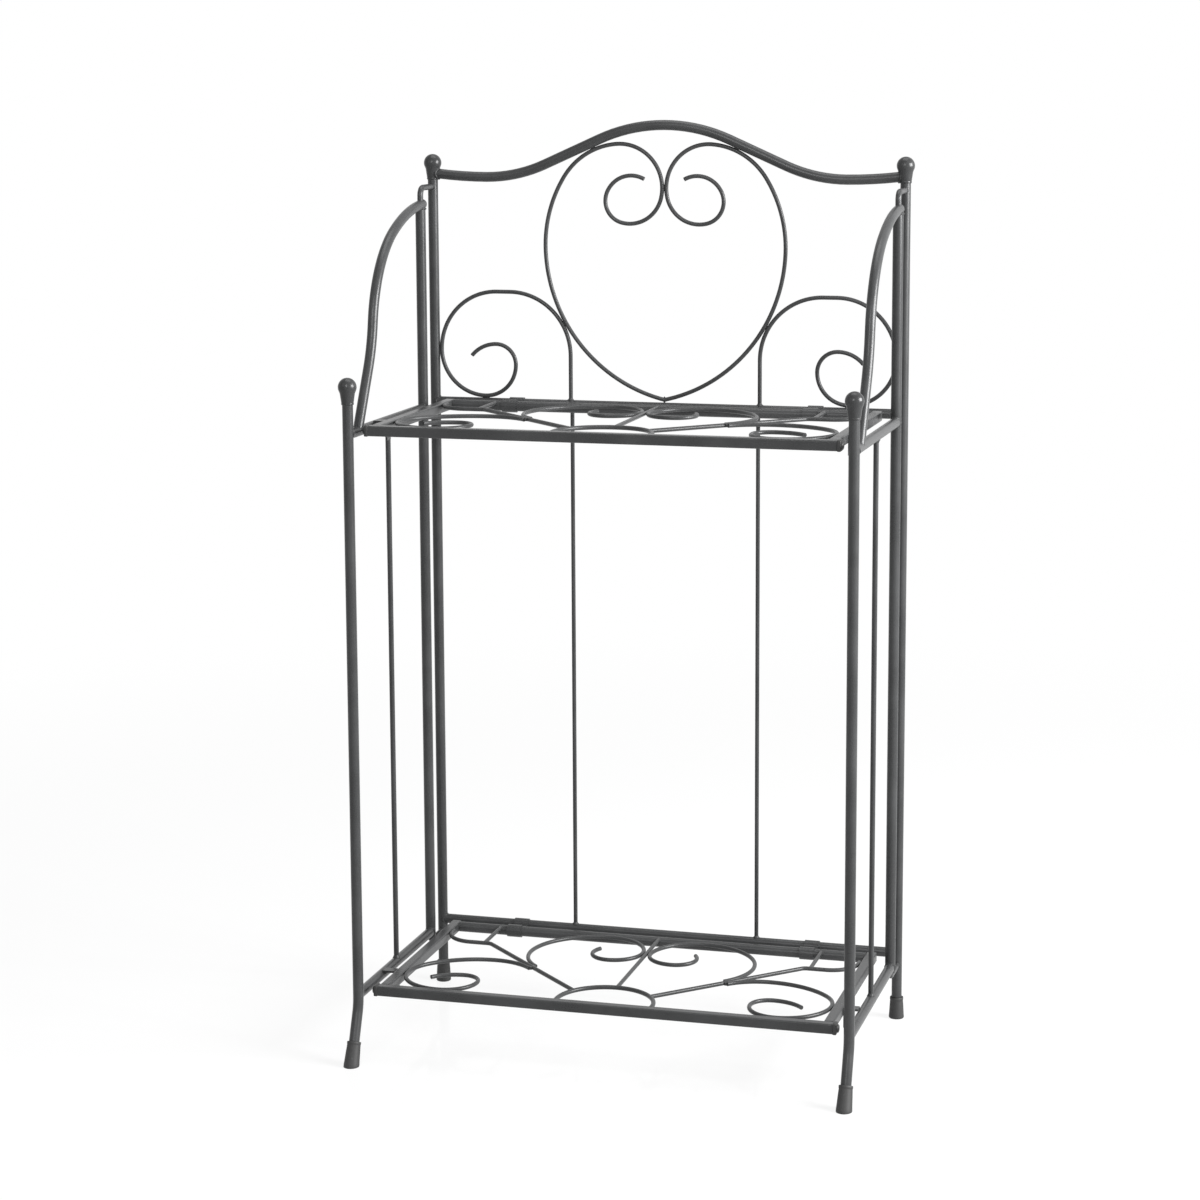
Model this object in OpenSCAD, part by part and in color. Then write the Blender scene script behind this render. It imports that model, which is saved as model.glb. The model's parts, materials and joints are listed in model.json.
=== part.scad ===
// Folding two-shelf plant stand of round steel tube and bent wire.
// The back frame carries both shelves and both side frames. Each shelf turns up
// about its own rear tube, and each side frame swings on two hinge pins.
// Lengths are in millimetres. X is across, Y runs from the front (-Y) to the back,
// Z is up from the floor, and the origin is under the middle of the stand.

/* [Overall] */
// Distance between the centres of the left and right posts
post_spacing = 490; // [440:0.2:560]
// Distance from the back posts to the front posts, centre to centre
frame_depth = 258; // [240:0.2:300]
// Height of the centre of the back finial balls
back_height = 869; // [840:1:930]
// Height of the centre of the front finial balls
front_height = 666; // [655:0.2:700]

/* [Tube and wire] */
// Outside diameter of posts, arch and arms
tube_d = 10.4; // [9.5:0.1:13]
// Outside diameter of the round cross and side rails
rail_d = 10; // [8.5:0.1:10.2]
// Wall of every tube
tube_wall = 1.1; // [0.8:0.1:1.5]
// Diameter of the scroll wire
wire_d = 4.2; // [3:0.1:5]
// Diameter of the upright wire in each side frame
side_wire_d = 5.2; // [4:0.1:6]
// How far a weld flares out round the end of a wire
weld_flare = 0.9; // [0.3:0.1:1.5]

/* [Back frame] */
// Height of the lower cross rail
lower_rail_z = 68.5; // [60:0.5:90]
// Height of the upper cross rail
upper_rail_z = 623.5; // [600:0.5:640]
// Distance of each long back wire from the middle
long_wire_x = 97.5; // [60:0.5:140]

/* [Top arch] */
// Height of the arch's centre line at its highest point
arch_top_z = 908; // [890:0.5:960]
// Height of the arch's centre line at its dips
arch_dip_z = 855; // [840:0.2:880]
// Distance of each dip from the middle
arch_dip_x = 187; // [170:1:210]
// Bend radius of the crown
arch_crown_r = 166; // [120:1:180]
// Bend radius of the dips
arch_dip_r = 153; // [110:1:160]
// Bend radius of the rise from a dip to its post
arch_end_r = 450; // [400:10:480]

/* [Heart scrolls] */
// Angle at which each half leaves the upper cross rail
heart_start_turn = 11.5; // [8:0.5:16]

/* [Side scrolls] */
// Distance of each side scroll's upright end from the middle
side_scroll_x = 99; // [92:0.1:104]
// Height of the scroll's top above the upper cross rail's top
side_scroll_rise = 109.6; // [96:0.2:120]
// Bend radius of the outer shoulder
side_shoulder_r = 60; // [52:1:64]
// Bend radius of the lower curl
side_curl_r = 32.5; // [26:0.5:38]
// Bend radius of the inner curl
side_inner_r = 21; // [15:0.5:26]
// Bend radius of the last stretch
side_tail_r = 34; // [26:1:44]

/* [Side frames] */
// Distance of the hinge tubes in front of the back posts
hinge_gap = 40; // [38:0.5:50]
// Height of the lower side rails
side_low_z = 65.5; // [58:0.5:87]
// Height of the upper side rails
side_up_z = 620.5; // [596:0.5:638]
// Distance of the side wire in front of the back posts
side_wire_y = 147; // [120:1:170]
// Height of the arm's centre line over the hinge tube
arm_end_z = 828; // [815:1:850]
// Slope of the arm where it crosses the hinge tube
arm_end_turn = 6; // [3:0.5:12]

/* [Front legs and feet] */
// Height at which a front leg starts to lean forward
kick_z = 64; // [56:1:66]
// Lean of the lower front leg
kick_turn = 22; // [14:1:26]
// Bend radius of the leg
kick_r = 40; // [25:1:60]
// Height of a foot cap
foot_h = 22; // [16:1:30]
// Foot cap diameter at its top
foot_top_d = 13.7; // [13:0.1:16]
// Foot cap diameter at the floor
foot_low_d = 15.5; // [14:0.1:20]

/* [Finials] */
// Diameter of the finial balls
finial_d = 18; // [16:0.5:24]
// Length of the skirt from the ball's centre down to its lower edge
finial_skirt = 17; // [14:0.5:24]

/* [Hinge pins] */
// Diameter of the hinge pins
pin_d = 6; // [5:0.1:6.4]
// Radial clearance of every running fit
running_gap = 0.06; // [0.03:0.01:0.1]
// Height of the upper pins' level part
upper_pin_z = 845; // [842:0.5:850]
// Length of the bush at each end of a hinge tube
bush_len = 15; // [8:1:25]

/* [Shelves] */
// Distance from the back posts to the shelf's rear tube
shelf_pivot = 25; // [22:0.5:30]
// Distance from the back posts to the front rail's centre
shelf_front = 247; // [225:0.5:252]
// Overall width of a shelf over its side rails
shelf_w = 455; // [380:0.5:456]
// Side of the square shelf tube
shelf_tube = 10; // [9.6:0.2:12]
// Corner radius of the square tube
shelf_corner = 1.5; // [0.8:0.1:2]
// Distance of the shelf brackets from the middle
bracket_x = 156.5; // [140:0.5:158]
// Width of a shelf bracket
bracket_w = 15; // [10:0.5:18]
// Sheet thickness of a shelf bracket
bracket_t = 1.2; // [1:0.1:1.6]
// Length of the end plugs outside the front rail
plug_len = 6; // [3:0.5:6.5]
// Least gap between an end plug and the side rail beside it
plug_gap = 1; // [0.5:0.5:5]

/* [Shelf rests] */
// Distance of the rests in front of the back posts
rest_y = 192; // [180:1:192]
// Width of the rest strip
rest_w = 10; // [8:0.5:11]
// Thickness of the rest strip
rest_t = 2; // [1.5:0.1:2.5]
// How far the strip hangs below the shelf tube
rest_drop = 11; // [6:0.5:14]
// Gap between the tongue's end and the side wire's inner face
rest_gap = 0.5; // [0.4:0.1:1]

/* [Shelf scrolls] */
// Radius of the half round in the middle of the front
half_round_r = 48; // [40:0.5:54]
// Straight ends of the half round
half_round_leg = 4; // [2:0.5:10]
// Widest point of each large scroll from the middle
large_reach = 116.5; // [110:0.5:120]
// Bend radius of the large scroll's outer shoulder
large_outer_r = 67; // [62:0.5:70]
// Bend radius of the large scroll's lower side
large_low_r = 65; // [60:0.5:68]
// Bend radius of its curl
large_curl_r = 29; // [24:0.5:32]
// Bend radius of its inner curl
large_inner_r = 21; // [17:0.5:24]
// Distance of the slanting wire's upper bend from the back posts
slant_top_y = 83; // [80:0.5:96]
// Bend radius of the rear corner
rear_corner_r = 28; // [20:0.5:32]
// Distance of the short rear link from the middle
link_x = 171.5; // [171:0.5:180]
// Bend radius where the corner scroll leaves the slanting wire
corner_lead_r = 56; // [46:1:64]
// Distance of the corner scroll's top from the back posts
corner_top_y = 135.5; // [131:0.5:140]
// Bend radius of its tight shoulder
corner_tight_r = 45; // [38:1:50]
// Bend radius of its curl
corner_curl_r = 31; // [26:0.5:34]
// Bend radius of its inner curl
corner_inner_r = 19; // [15:0.5:22]

/* [Hidden] */
$fn = 48;
steel = [0.09, 0.09, 0.10];
black = [0.04, 0.04, 0.04];
touch = 0.05;

// A bent bar's stretches stop this far from each joint, where a short ring joins them
join_gap = 0.1;
join_len = 0.4;
join_swell = 0.04;

// How far below the ball's centre a post ends inside its finial
cap_seat = 4;

// A finial's skirt: its lip round the tube, and where it runs into the ball
skirt_lip = 0.8;
neck_r = 0.41 * finial_d;
neck_z = 0.28 * finial_d;

// Welds where a wire stands on a bar, and where two wires lie side by side
flare_h = 2.4;
flare_sink = 0.4;
bead_swell = 0.2;
bead_inset = 0.6;
bead_h = wire_d - 2 * bead_inset;

tube_r = tube_d / 2;
rail_r = rail_d / 2;
wire_r = wire_d / 2;

// The posts stand at their spacing, or as far apart as wider shelves and their plugs need
post_x = max(post_spacing / 2, shelf_w / 2 + plug_len + plug_gap + rail_r);

// A bar that is coped into another of its size is thinner by this much
cope = 0.2;
arch_d = tube_d - cope;
arm_d = rail_d - cope / 2;
tee_d = wire_d - cope;
half_round_d = wire_d + cope;

// How far a cutting shape runs past what it cuts
cut = 1;

pin_r = pin_d / 2;
foot_low_r = foot_low_d / 2;

// The floor point of the front legs, and the shift that centres the whole stand
kick_bend_y = kick_r * (1 - cos(kick_turn));
kick_bend_z = kick_r * sin(kick_turn);
kick_reach = kick_bend_y + (kick_z - kick_bend_z) * tan(kick_turn);
front_reach = frame_depth + kick_reach + foot_low_r / cos(kick_turn);
plane_y = (front_reach - finial_d / 2) / 2;

upper_top_z = upper_rail_z + rail_r;

// The arch: crown, straight flank, dip and a slight rise to the post
arch_dx = arch_dip_x;
arch_dz = arch_dip_z + arch_dip_r - (arch_top_z - arch_crown_r);
arch_sum = arch_crown_r + arch_dip_r;
arch_flank = sqrt(arch_dx * arch_dx + arch_dz * arch_dz - arch_sum * arch_sum);
arch_turn = atan2(arch_dx, arch_dz) - atan2(arch_flank, arch_sum);
arch_end_turn = asin((post_x - arch_dip_x) / arch_end_r);
arch_end_z = arch_dip_z + arch_end_r * (1 - cos(arch_end_turn));
arch_steps = [[arch_end_r, arch_end_turn], [arch_dip_r, arch_turn], [0, arch_flank],
              [arch_crown_r, -2 * arch_turn], [0, arch_flank], [arch_dip_r, arch_turn],
              [arch_end_r, arch_end_turn]];

// Bends of half a heart from the rail upwards, before the heart is scaled to its place
heart_low_r = 156;
heart_side_bend_r = 128;
heart_shoulder_r = 70;
heart_top_r = 43;
heart_curl_r = 33;
heart_inner_r = 22;
heart_tail_r = 27;
heart_bends = [[heart_low_r, 76.5], [heart_side_bend_r, 34], [heart_shoulder_r, 54],
               [heart_top_r, 107], [heart_curl_r, 91], [heart_inner_r, 100],
               [heart_tail_r, 95]];

// Straight lead that each half has below its first bend, before the mitre
heart_lead = 6;

// The heart is scaled so that it just touches the arch's flank and its own twin
heart_from = [0, 0, heart_start_turn];
heart_shoulder = bend_centre(walk(heart_bends, 2, heart_from), heart_bends[2]);
heart_lobe = bend_centre(walk(heart_bends, 3, heart_from), heart_bends[3]);
lobe_reach = heart_lobe[0] - heart_top_r;
twin_x = wire_r + touch / 2;
flank_n = [sin(arch_turn), cos(arch_turn)];
flank_x = arch_crown_r * sin(arch_turn);
flank_z = arch_top_z - arch_crown_r * (1 - cos(arch_turn));
heart_base_z = upper_top_z + wire_r + touch;
heart_k = (flank_n[0] * (flank_x - twin_x) + flank_n[1] * (flank_z - heart_base_z)
           - tube_r - wire_r - touch)
          / (flank_n[0] * (heart_shoulder[0] - lobe_reach) + flank_n[1] * heart_shoulder[1]
             + heart_shoulder_r);
heart_x = twin_x - heart_k * lobe_reach;
heart_steps = [for (b = heart_bends) [b[0] * heart_k, b[1]]];

// The side scroll's first bend is the one that just touches the heart
heart_side_r = heart_low_r * heart_k;
heart_side_x = heart_x - heart_side_r * sin(heart_start_turn);
heart_side_z = heart_base_z + heart_side_r * cos(heart_start_turn);
side_top_z = upper_top_z + side_scroll_rise;
side_a = side_scroll_x - heart_side_x;
side_b = side_top_z - heart_side_z;
side_c = heart_side_r + wire_d + touch;
side_half = side_a - side_b - side_c;
side_lead_r = sqrt(side_half * side_half - side_a * side_a - side_b * side_b + side_c * side_c)
              - side_half;
side_span = post_x - tube_r - wire_r - touch - side_scroll_x;
side_low_r = side_top_z - side_shoulder_r - upper_top_z - wire_r - touch;
side_tail_turn = 50;
side_steps = [[0, side_top_z - side_lead_r - upper_rail_z], [side_lead_r, -90],
              [0, side_span - side_lead_r - side_shoulder_r], [side_shoulder_r, -90],
              [side_low_r, -90], [side_curl_r, -90], [side_inner_r, -90],
              [side_tail_r, -side_tail_turn]];

// The arm, from its rear end over the hinge tube forwards and down to the side rail
arm_rear = 6;
arm_rear_r = 230;
arm_fall_r = 113;
arm_foot_r = 133;
arm_bends = [[0, 2 * arm_rear], [arm_rear_r, -20], [arm_fall_r, -55], [arm_foot_r, 20]];
arm_start = [-arm_rear, arm_end_z + arm_rear * tan(arm_end_turn), -arm_end_turn];
arm_knee = walk(arm_bends, 4, arm_start);
arm_steps = concat(arm_bends, [[0, (arm_knee[1] - side_up_z) / sin(-arm_knee[2])]]);

// Hinge pins and the bushes they turn in
hinge_low_z = side_low_z - rail_r;
pin_clear = 0.3;
bush_inset = 1.5;
upper_pin_r = 8;
lower_pin_inside = 1.5;
lower_pin_r = pin_r + lower_pin_inside;
lower_pin_z = hinge_low_z - lower_pin_r - pin_clear;
bush_top_z = arm_end_z - tube_r - bush_inset;
bush_r = tube_r - tube_wall - touch;
pin_over = 2;

// Front legs and front feet
leg_end = 5;
foot_more = 2;
leg_steps = [[0, front_height - cap_seat - kick_z], [kick_r, kick_turn],
             [0, (kick_z - kick_bend_z) / cos(kick_turn) - leg_end]];

// Shelf frame
shelf_in_x = shelf_w / 2 - shelf_tube;
shelf_in_y = shelf_front - shelf_tube / 2;
shelf_rail_x = shelf_w / 2 - shelf_tube / 2;
shelf_back_y = shelf_pivot - tube_r;
wire_z = shelf_tube / 2 - wire_r;

// Thickness of the plate that closes a side tube at the rear
tube_end = 2;

// End plugs: lip over the tube, height of the round button, and length inside the tube
plug_lip = 0.4;
plug_button = 2;
plug_shank = 8;

// The rests stop short of the side wires, which pass them when a shelf turns up
rest_reach = post_x - side_wire_d / 2 - rest_gap;
rest_over = post_x - rest_reach;
rest_clear = 0.3;
rest_seat = sqrt(rail_r * rail_r - rest_over * rest_over) + rest_clear;

// Half round and stem in the middle of a shelf
half_y = shelf_in_y - half_round_leg;

// Large scroll: it touches the stem, the rear tube and the slanting wire
slant_turn = 45;
large_top_y = shelf_pivot + touch
              + sqrt((tube_r + wire_r) * (tube_r + wire_r) - wire_z * wire_z);
large_left_r = large_reach - wire_d - touch - large_outer_r;
large_x = large_reach - large_low_r;
large_y = large_top_y + large_outer_r;
large_tail_r = 26;
large_tail_turn = 32;
large_steps = [[large_low_r, 90 - slant_turn], [large_outer_r, 90], [large_left_r, 90],
               [large_curl_r, 90], [large_inner_r, 90],
               [large_tail_r, large_tail_turn]];

// Slanting wire: on its line, distance across plus distance to the front is slant_sum
slant_sum = large_x + large_y + (large_low_r + wire_d + touch) / cos(slant_turn);
slant_bend_r = 8;
slant_bend_t = slant_bend_r * tan(slant_turn / 2);
slant_off = (slant_sum - half_y) * cos(slant_turn);
slant_low_x = (slant_sum - half_y) / 2
              + sqrt(half_round_r * half_round_r - slant_off * slant_off) * cos(slant_turn);
scroll_out_x = shelf_in_x - wire_r - touch;
rear_corner_end = 5;

// The link and the slanting wire's upper bend keep clear of the rear corner's bend
link_room = 1;
link_at = min(link_x, scroll_out_x - rear_corner_r - link_room - tee_d / 2);
slant_top_x = min(slant_sum - slant_top_y, link_at - tee_d / 2 - slant_bend_t);
slant_rear_y = slant_sum - slant_top_x;
slant_steps = [[0, (slant_top_x - slant_low_x) / cos(slant_turn) - slant_bend_t],
               [slant_bend_r, -slant_turn],
               [0, scroll_out_x - rear_corner_r - slant_top_x - slant_bend_t],
               [rear_corner_r, 90], [0, rear_corner_end]];

// Corner scroll: it starts beside the slanting wire and touches the side and front rails
corner_lead_t = corner_lead_r * tan(slant_turn / 2);
corner_lead_x = slant_sum + (wire_d + touch) / cos(slant_turn) - corner_top_y;
corner_start_x = corner_lead_x - corner_lead_t * cos(slant_turn);
corner_start_y = corner_top_y + corner_lead_t * sin(slant_turn);
corner_turn = 50;
corner_tail_r = 40;
corner_tail_turn = 50;
corner_tight_x = corner_tight_r * (1 - sin(corner_turn));
corner_long_x = scroll_out_x - corner_tight_x - corner_lead_x - corner_lead_t;
corner_long_r = corner_long_x / sin(corner_turn);
corner_out_y = corner_top_y + corner_long_r * (1 - cos(corner_turn))
               + corner_tight_r * cos(corner_turn);
corner_low_r = shelf_in_y - wire_r - touch - corner_out_y;
corner_steps = [[corner_lead_r, -slant_turn], [corner_long_r, -corner_turn],
                [corner_tight_r, corner_turn - 90], [corner_low_r, -90],
                [corner_curl_r, -90], [corner_inner_r, -90],
                [corner_tail_r, -corner_tail_turn]];

// Which sub-part to draw, or all of them

// A path is a list of steps, [0, length] for a straight and [radius, turn] for a bend
function step_on(at, s) =
    let (h = at[2], side = s[1] < 0 ? -1 : 1)
    s[0] == 0
        ? [at[0] + s[1] * cos(h), at[1] + s[1] * sin(h), h]
        : [at[0] + side * s[0] * (sin(h + s[1]) - sin(h)),
           at[1] - side * s[0] * (cos(h + s[1]) - cos(h)), h + s[1]];

// Place and heading after the first n steps
function walk(steps, n, at, i = 0) =
    i == n ? at : walk(steps, n, step_on(at, steps[i]), i + 1);

// Centre of a bend that starts at a place and heading
function bend_centre(at, s) =
    let (side = s[1] < 0 ? -1 : 1)
    [at[0] - side * s[0] * sin(at[2]), at[1] + side * s[0] * cos(at[2])];

// Round section, solid or with a wall
module round_section(d, wall) {
    difference() {
        circle(d = d);
        if (wall > 0) {
            circle(d = d - 2 * wall);
        }
    }
}

// Length on a bend as an angle
function along(r, length) = length / r * 180 / PI;

// One bend, to the left of a path that arrives along +X, trimmed at its start and end
module bend(r, turn, d, wall, from, to) {
    translate([0, r, 0])
    rotate([0, 0, along(r, from) - 90])
    rotate_extrude(angle = turn - along(r, from + to))
    translate([r, 0])
    round_section(d, wall);
}

// Wire or tube laid along a path in the XY plane, starting at the origin along +X.
// Neighbouring stretches stop just short of each other, and a thin weld ring joins them.
module bent(steps, d, wall = 0, i = 0) {
    if (i < len(steps)) {
        r = steps[i][0];
        a = steps[i][1];
        from = i > 0 ? join_gap : 0;
        to = i < len(steps) - 1 ? join_gap : 0;
        next = step_on([0, 0, 0], steps[i]);
        if (i > 0) {
            rotate([90, 0, 90])
            linear_extrude(join_len, center = true)
            round_section(d + join_swell, wall > 0 ? wall + join_swell : 0);
        }
        if (r == 0) {
            translate([from, 0, 0])
            rotate([90, 0, 90])
            linear_extrude(a - from - to)
            round_section(d, wall);
        } else if (a > 0) {
            bend(r, a, d, wall, from, to);
        } else {
            mirror([0, 1, 0])
            bend(r, -a, d, wall, from, to);
        }
        translate([next[0], next[1], 0])
        rotate([0, 0, next[2]])
        bent(steps, d, wall, i + 1);
    }
}

// Moves from the back posts' plane to the stand's own origin
module in_stand() {
    translate([0, plane_y, 0])
    children();
}

// Draws for the right side, or mirrored for the left
module on_side(side) {
    mirror([side < 0 ? 1 : 0, 0, 0])
    children();
}

// Turns a path's plane upright and facing the front: its Y becomes up
module upright() {
    rotate([90, 0, 0])
    children();
}

// Turns a path's plane upright and sideways: its X runs to the front, its Y is up
module sideways() {
    rotate([90, 0, -90])
    children();
}

// Upright bar between two heights
module bar_z(d, low, high, wall = 0) {
    translate([0, 0, low])
    linear_extrude(high - low)
    round_section(d, wall);
}

// Level bar across the stand
module bar_x(d, left, right, wall = 0) {
    translate([left, 0, 0])
    rotate([90, 0, 90])
    linear_extrude(right - left)
    round_section(d, wall);
}

// Level bar from a rear distance to a front distance
module bar_y(d, rear, front, wall = 0) {
    translate([0, -rear, 0])
    rotate([90, 0, 0])
    linear_extrude(front - rear)
    round_section(d, wall);
}

// Flared weld at the foot of a wire that rises along +Z
module flare(d) {
    cylinder(h = flare_h, d1 = d + 2 * weld_flare, d2 = d);
}

// Outer shape of a finial about its ball's centre
module finial_shape() {
    sphere(d = finial_d);
    translate([0, 0, -finial_skirt])
    cylinder(h = finial_skirt - neck_z, r1 = tube_r + skirt_lip, r2 = neck_r);
}

module finial() {
    difference() {
        finial_shape();
        translate([0, 0, -finial_skirt - cut])
        cylinder(h = finial_skirt + cut - cap_seat + touch, r = tube_r + touch);
    }
}

module back_post(side) {
    color(steel)
    in_stand()
    translate([side * post_x, 0, 0])
    bar_z(tube_d, leg_end, back_height - cap_seat, tube_wall);
}

module back_finial(side) {
    color(steel)
    in_stand()
    translate([side * post_x, 0, back_height])
    finial();
}

module back_foot(side) {
    color(black)
    in_stand()
    translate([side * post_x, 0, 0])
    difference() {
        cylinder(h = foot_h, d1 = foot_low_d, d2 = foot_top_d);
        translate([0, 0, leg_end - touch])
        cylinder(h = foot_h, r = tube_r + touch);
    }
}

module top_arch() {
    color(steel)
    in_stand()
    difference() {
        translate([-post_x, 0, arch_end_z])
        upright()
        rotate([0, 0, -arch_end_turn])
        bent(arch_steps, arch_d, tube_wall);
        for (side = [-1, 1]) {
            translate([side * post_x, 0, back_height])
            finial_shape();
        }
    }
}

module back_rail(z) {
    color(steel)
    in_stand()
    difference() {
        translate([0, 0, z])
        bar_x(rail_d, -post_x, post_x, tube_wall);
        for (side = [-1, 1]) {
            translate([side * post_x, 0, z - tube_d])
            cylinder(h = 2 * tube_d, r = tube_r);
        }
    }
}

// Solid cross rails for fitting the wires that stand on them
module rail_solid(z) {
    translate([0, 0, z])
    bar_x(rail_d, -post_x, post_x);
}

module heart_half(side) {
    color(steel)
    in_stand()
    on_side(side)
    difference() {
        translate([heart_x, 0, heart_base_z])
        upright()
        rotate([0, 0, heart_start_turn])
        translate([-heart_lead, 0, 0])
        bent(concat([[0, heart_lead]], heart_steps), wire_d);
        translate([-2 * heart_lead, -wire_d, heart_base_z - heart_lead])
        cube([2 * heart_lead - touch / 2, 2 * wire_d, 2 * heart_lead]);
    }
}

module side_scroll(side) {
    color(steel)
    in_stand()
    on_side(side)
    difference() {
        union() {
            translate([side_scroll_x, 0, upper_rail_z])
            upright()
            rotate([0, 0, 90])
            bent(side_steps, wire_d);
            translate([side_scroll_x, 0, upper_top_z - flare_sink])
            flare(wire_d);
        }
        rail_solid(upper_rail_z);
    }
}

module back_wire(side) {
    color(steel)
    in_stand()
    on_side(side)
    difference() {
        translate([long_wire_x, 0, 0]) {
            bar_z(wire_d, lower_rail_z, upper_rail_z);
            translate([0, 0, lower_rail_z + rail_r - flare_sink])
            flare(wire_d);
            translate([0, 0, upper_rail_z - rail_r + flare_sink])
            mirror([0, 0, 1])
            flare(wire_d);
        }
        rail_solid(lower_rail_z);
        rail_solid(upper_rail_z);
    }
}

// Hinge pin: level from the back post, then along the hinge tube's axis
module hinge_pin(side, z, bend_r, reach, up) {
    color(steel)
    in_stand()
    on_side(side)
    difference() {
        translate([post_x, 0, z])
        mirror([0, 0, up ? 0 : 1])
        sideways()
        bent([[0, hinge_gap - bend_r], [bend_r, 90], [0, reach - bend_r]], pin_d);
        translate([post_x, 0, z - tube_d])
        cylinder(h = 2 * tube_d, r = tube_r);
    }
}

module upper_hinge_pin(side) {
    hinge_pin(side, upper_pin_z, upper_pin_r, upper_pin_z - bush_top_z + bush_len + pin_over,
              false);
}

module lower_hinge_pin(side) {
    hinge_pin(side, lower_pin_z, lower_pin_r, hinge_low_z + bush_len + pin_over - lower_pin_z,
              true);
}

// Bracket: a strap round the cross rail and round the shelf's rear tube
module shelf_bracket() {
    rotate([90, 0, 90])
    linear_extrude(bracket_w, center = true)
    difference() {
        union() {
            circle(r = rail_r + bracket_t);
            translate([-shelf_pivot, 0])
            circle(r = tube_r + running_gap + bracket_t);
            translate([-shelf_pivot / 2, 0])
            square([shelf_pivot, 2 * bracket_t], center = true);
        }
        circle(r = rail_r + touch);
        translate([-shelf_pivot, 0])
        circle(r = tube_r + running_gap);
    }
}

module shelf_brackets(z) {
    color(steel)
    in_stand()
    for (side = [-1, 1]) {
        translate([side * bracket_x, 0, z])
        shelf_bracket();
    }
}

module front_post(side) {
    color(steel)
    in_stand()
    on_side(side)
    translate([post_x, -frame_depth, front_height - cap_seat])
    sideways()
    rotate([0, 0, -90])
    bent(leg_steps, tube_d, tube_wall);
}

module front_finial(side) {
    color(steel)
    in_stand()
    translate([side * post_x, -frame_depth, front_height])
    finial();
}

module front_foot(side) {
    color(black)
    in_stand()
    on_side(side)
    translate([post_x, -frame_depth - kick_reach, 0])
    difference() {
        rotate([-kick_turn, 0, 0]) {
            cylinder(h = foot_h + foot_more, d1 = foot_low_d, d2 = foot_top_d);
            translate([0, 0, -foot_low_d / 2])
            cylinder(h = foot_low_d / 2, d = foot_low_d);
        }
        rotate([-kick_turn, 0, 0])
        translate([0, 0, leg_end - touch])
        cylinder(h = foot_h, r = tube_r + touch);
        translate([-foot_low_d, -foot_low_d, -2 * foot_low_d])
        cube([2 * foot_low_d, 2 * foot_low_d, 2 * foot_low_d]);
    }
}

// Puts a path on the arm's line, from the rear end over the hinge tube
module on_arm() {
    translate([post_x, -hinge_gap + arm_rear, arm_start[1]])
    sideways()
    rotate([0, 0, -arm_end_turn])
    children();
}

module side_rail_solid(z) {
    translate([post_x, 0, z])
    bar_y(rail_d, hinge_gap, frame_depth);
}

module arm(side) {
    color(steel)
    in_stand()
    on_side(side)
    difference() {
        on_arm()
        bent(arm_steps, arm_d, tube_wall);
        side_rail_solid(side_up_z);
        translate([post_x, -hinge_gap, arm_end_z - 2 * tube_d])
        cylinder(h = 4 * tube_d, r = pin_r + running_gap);
    }
}

module hinge_tube(side) {
    color(steel)
    in_stand()
    on_side(side)
    difference() {
        translate([post_x, -hinge_gap, 0])
        bar_z(tube_d, hinge_low_z, arm_end_z, tube_wall);
        on_arm()
        bent(arm_steps, arm_d);
    }
}

module hinge_bushes(side) {
    color(black)
    in_stand()
    on_side(side)
    translate([post_x, -hinge_gap, 0])
    for (low = [hinge_low_z, bush_top_z - bush_len]) {
        difference() {
            translate([0, 0, low])
            cylinder(h = bush_len, r = bush_r);
            translate([0, 0, low - cut])
            cylinder(h = bush_len + 2 * cut, r = pin_r + running_gap);
        }
    }
}

module side_rail(side, z) {
    color(steel)
    in_stand()
    on_side(side)
    difference() {
        translate([post_x, 0, z])
        bar_y(rail_d, hinge_gap, frame_depth, tube_wall);
        translate([post_x, -hinge_gap, z - tube_d])
        cylinder(h = 2 * tube_d, r = tube_r);
        front_post_solid();
    }
}

module front_post_solid() {
    translate([post_x, -frame_depth, front_height])
    sideways()
    rotate([0, 0, -90])
    bent([[0, front_height - kick_z], [kick_r, kick_turn], [0, kick_z - kick_bend_z]], tube_d);
}

module side_wire(side) {
    color(steel)
    in_stand()
    on_side(side)
    difference() {
        translate([post_x, -side_wire_y, 0]) {
            bar_z(side_wire_d, side_low_z, side_up_z);
            translate([0, 0, side_low_z + rail_r - flare_sink])
            flare(side_wire_d);
            translate([0, 0, side_up_z - rail_r + flare_sink])
            mirror([0, 0, 1])
            flare(side_wire_d);
        }
        side_rail_solid(side_low_z);
        side_rail_solid(side_up_z);
    }
}

// Square with rounded corners
module rounded_square(s, r) {
    square([s, s - 2 * r], center = true);
    square([s - 2 * r, s], center = true);
    for (x = [-1, 1], y = [-1, 1]) {
        translate([x * (s / 2 - r), y * (s / 2 - r)])
        circle(r = r);
    }
}

module square_section(wall) {
    difference() {
        rounded_square(shelf_tube, shelf_corner);
        if (wall > 0) {
            square(shelf_tube - 2 * wall, center = true);
        }
    }
}

module front_rail_shape(wall) {
    translate([0, -shelf_front, 0])
    rotate([90, 0, 90])
    linear_extrude(shelf_w, center = true)
    square_section(wall);
}

module side_tube_shape(wall) {
    translate([shelf_rail_x, -shelf_back_y, 0])
    rotate([90, 0, 0])
    linear_extrude(shelf_in_y - shelf_back_y)
    square_section(wall);
}

module rear_tube_shape(wall) {
    translate([0, -shelf_pivot, 0])
    bar_x(tube_d, -shelf_in_x, shelf_in_x, wall);
}

module in_shelf(z) {
    in_stand()
    translate([0, 0, z])
    children();
}

module shelf_front_rail(z) {
    color(steel)
    in_shelf(z)
    front_rail_shape(tube_wall);
}

module shelf_side_rail(z, side) {
    color(steel)
    in_shelf(z)
    on_side(side) {
        side_tube_shape(tube_wall);
        translate([shelf_rail_x, -shelf_back_y - tube_end / 2, 0])
        cube([shelf_tube - 2 * tube_wall, tube_end, shelf_tube - 2 * tube_wall], center = true);
    }
}

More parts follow.
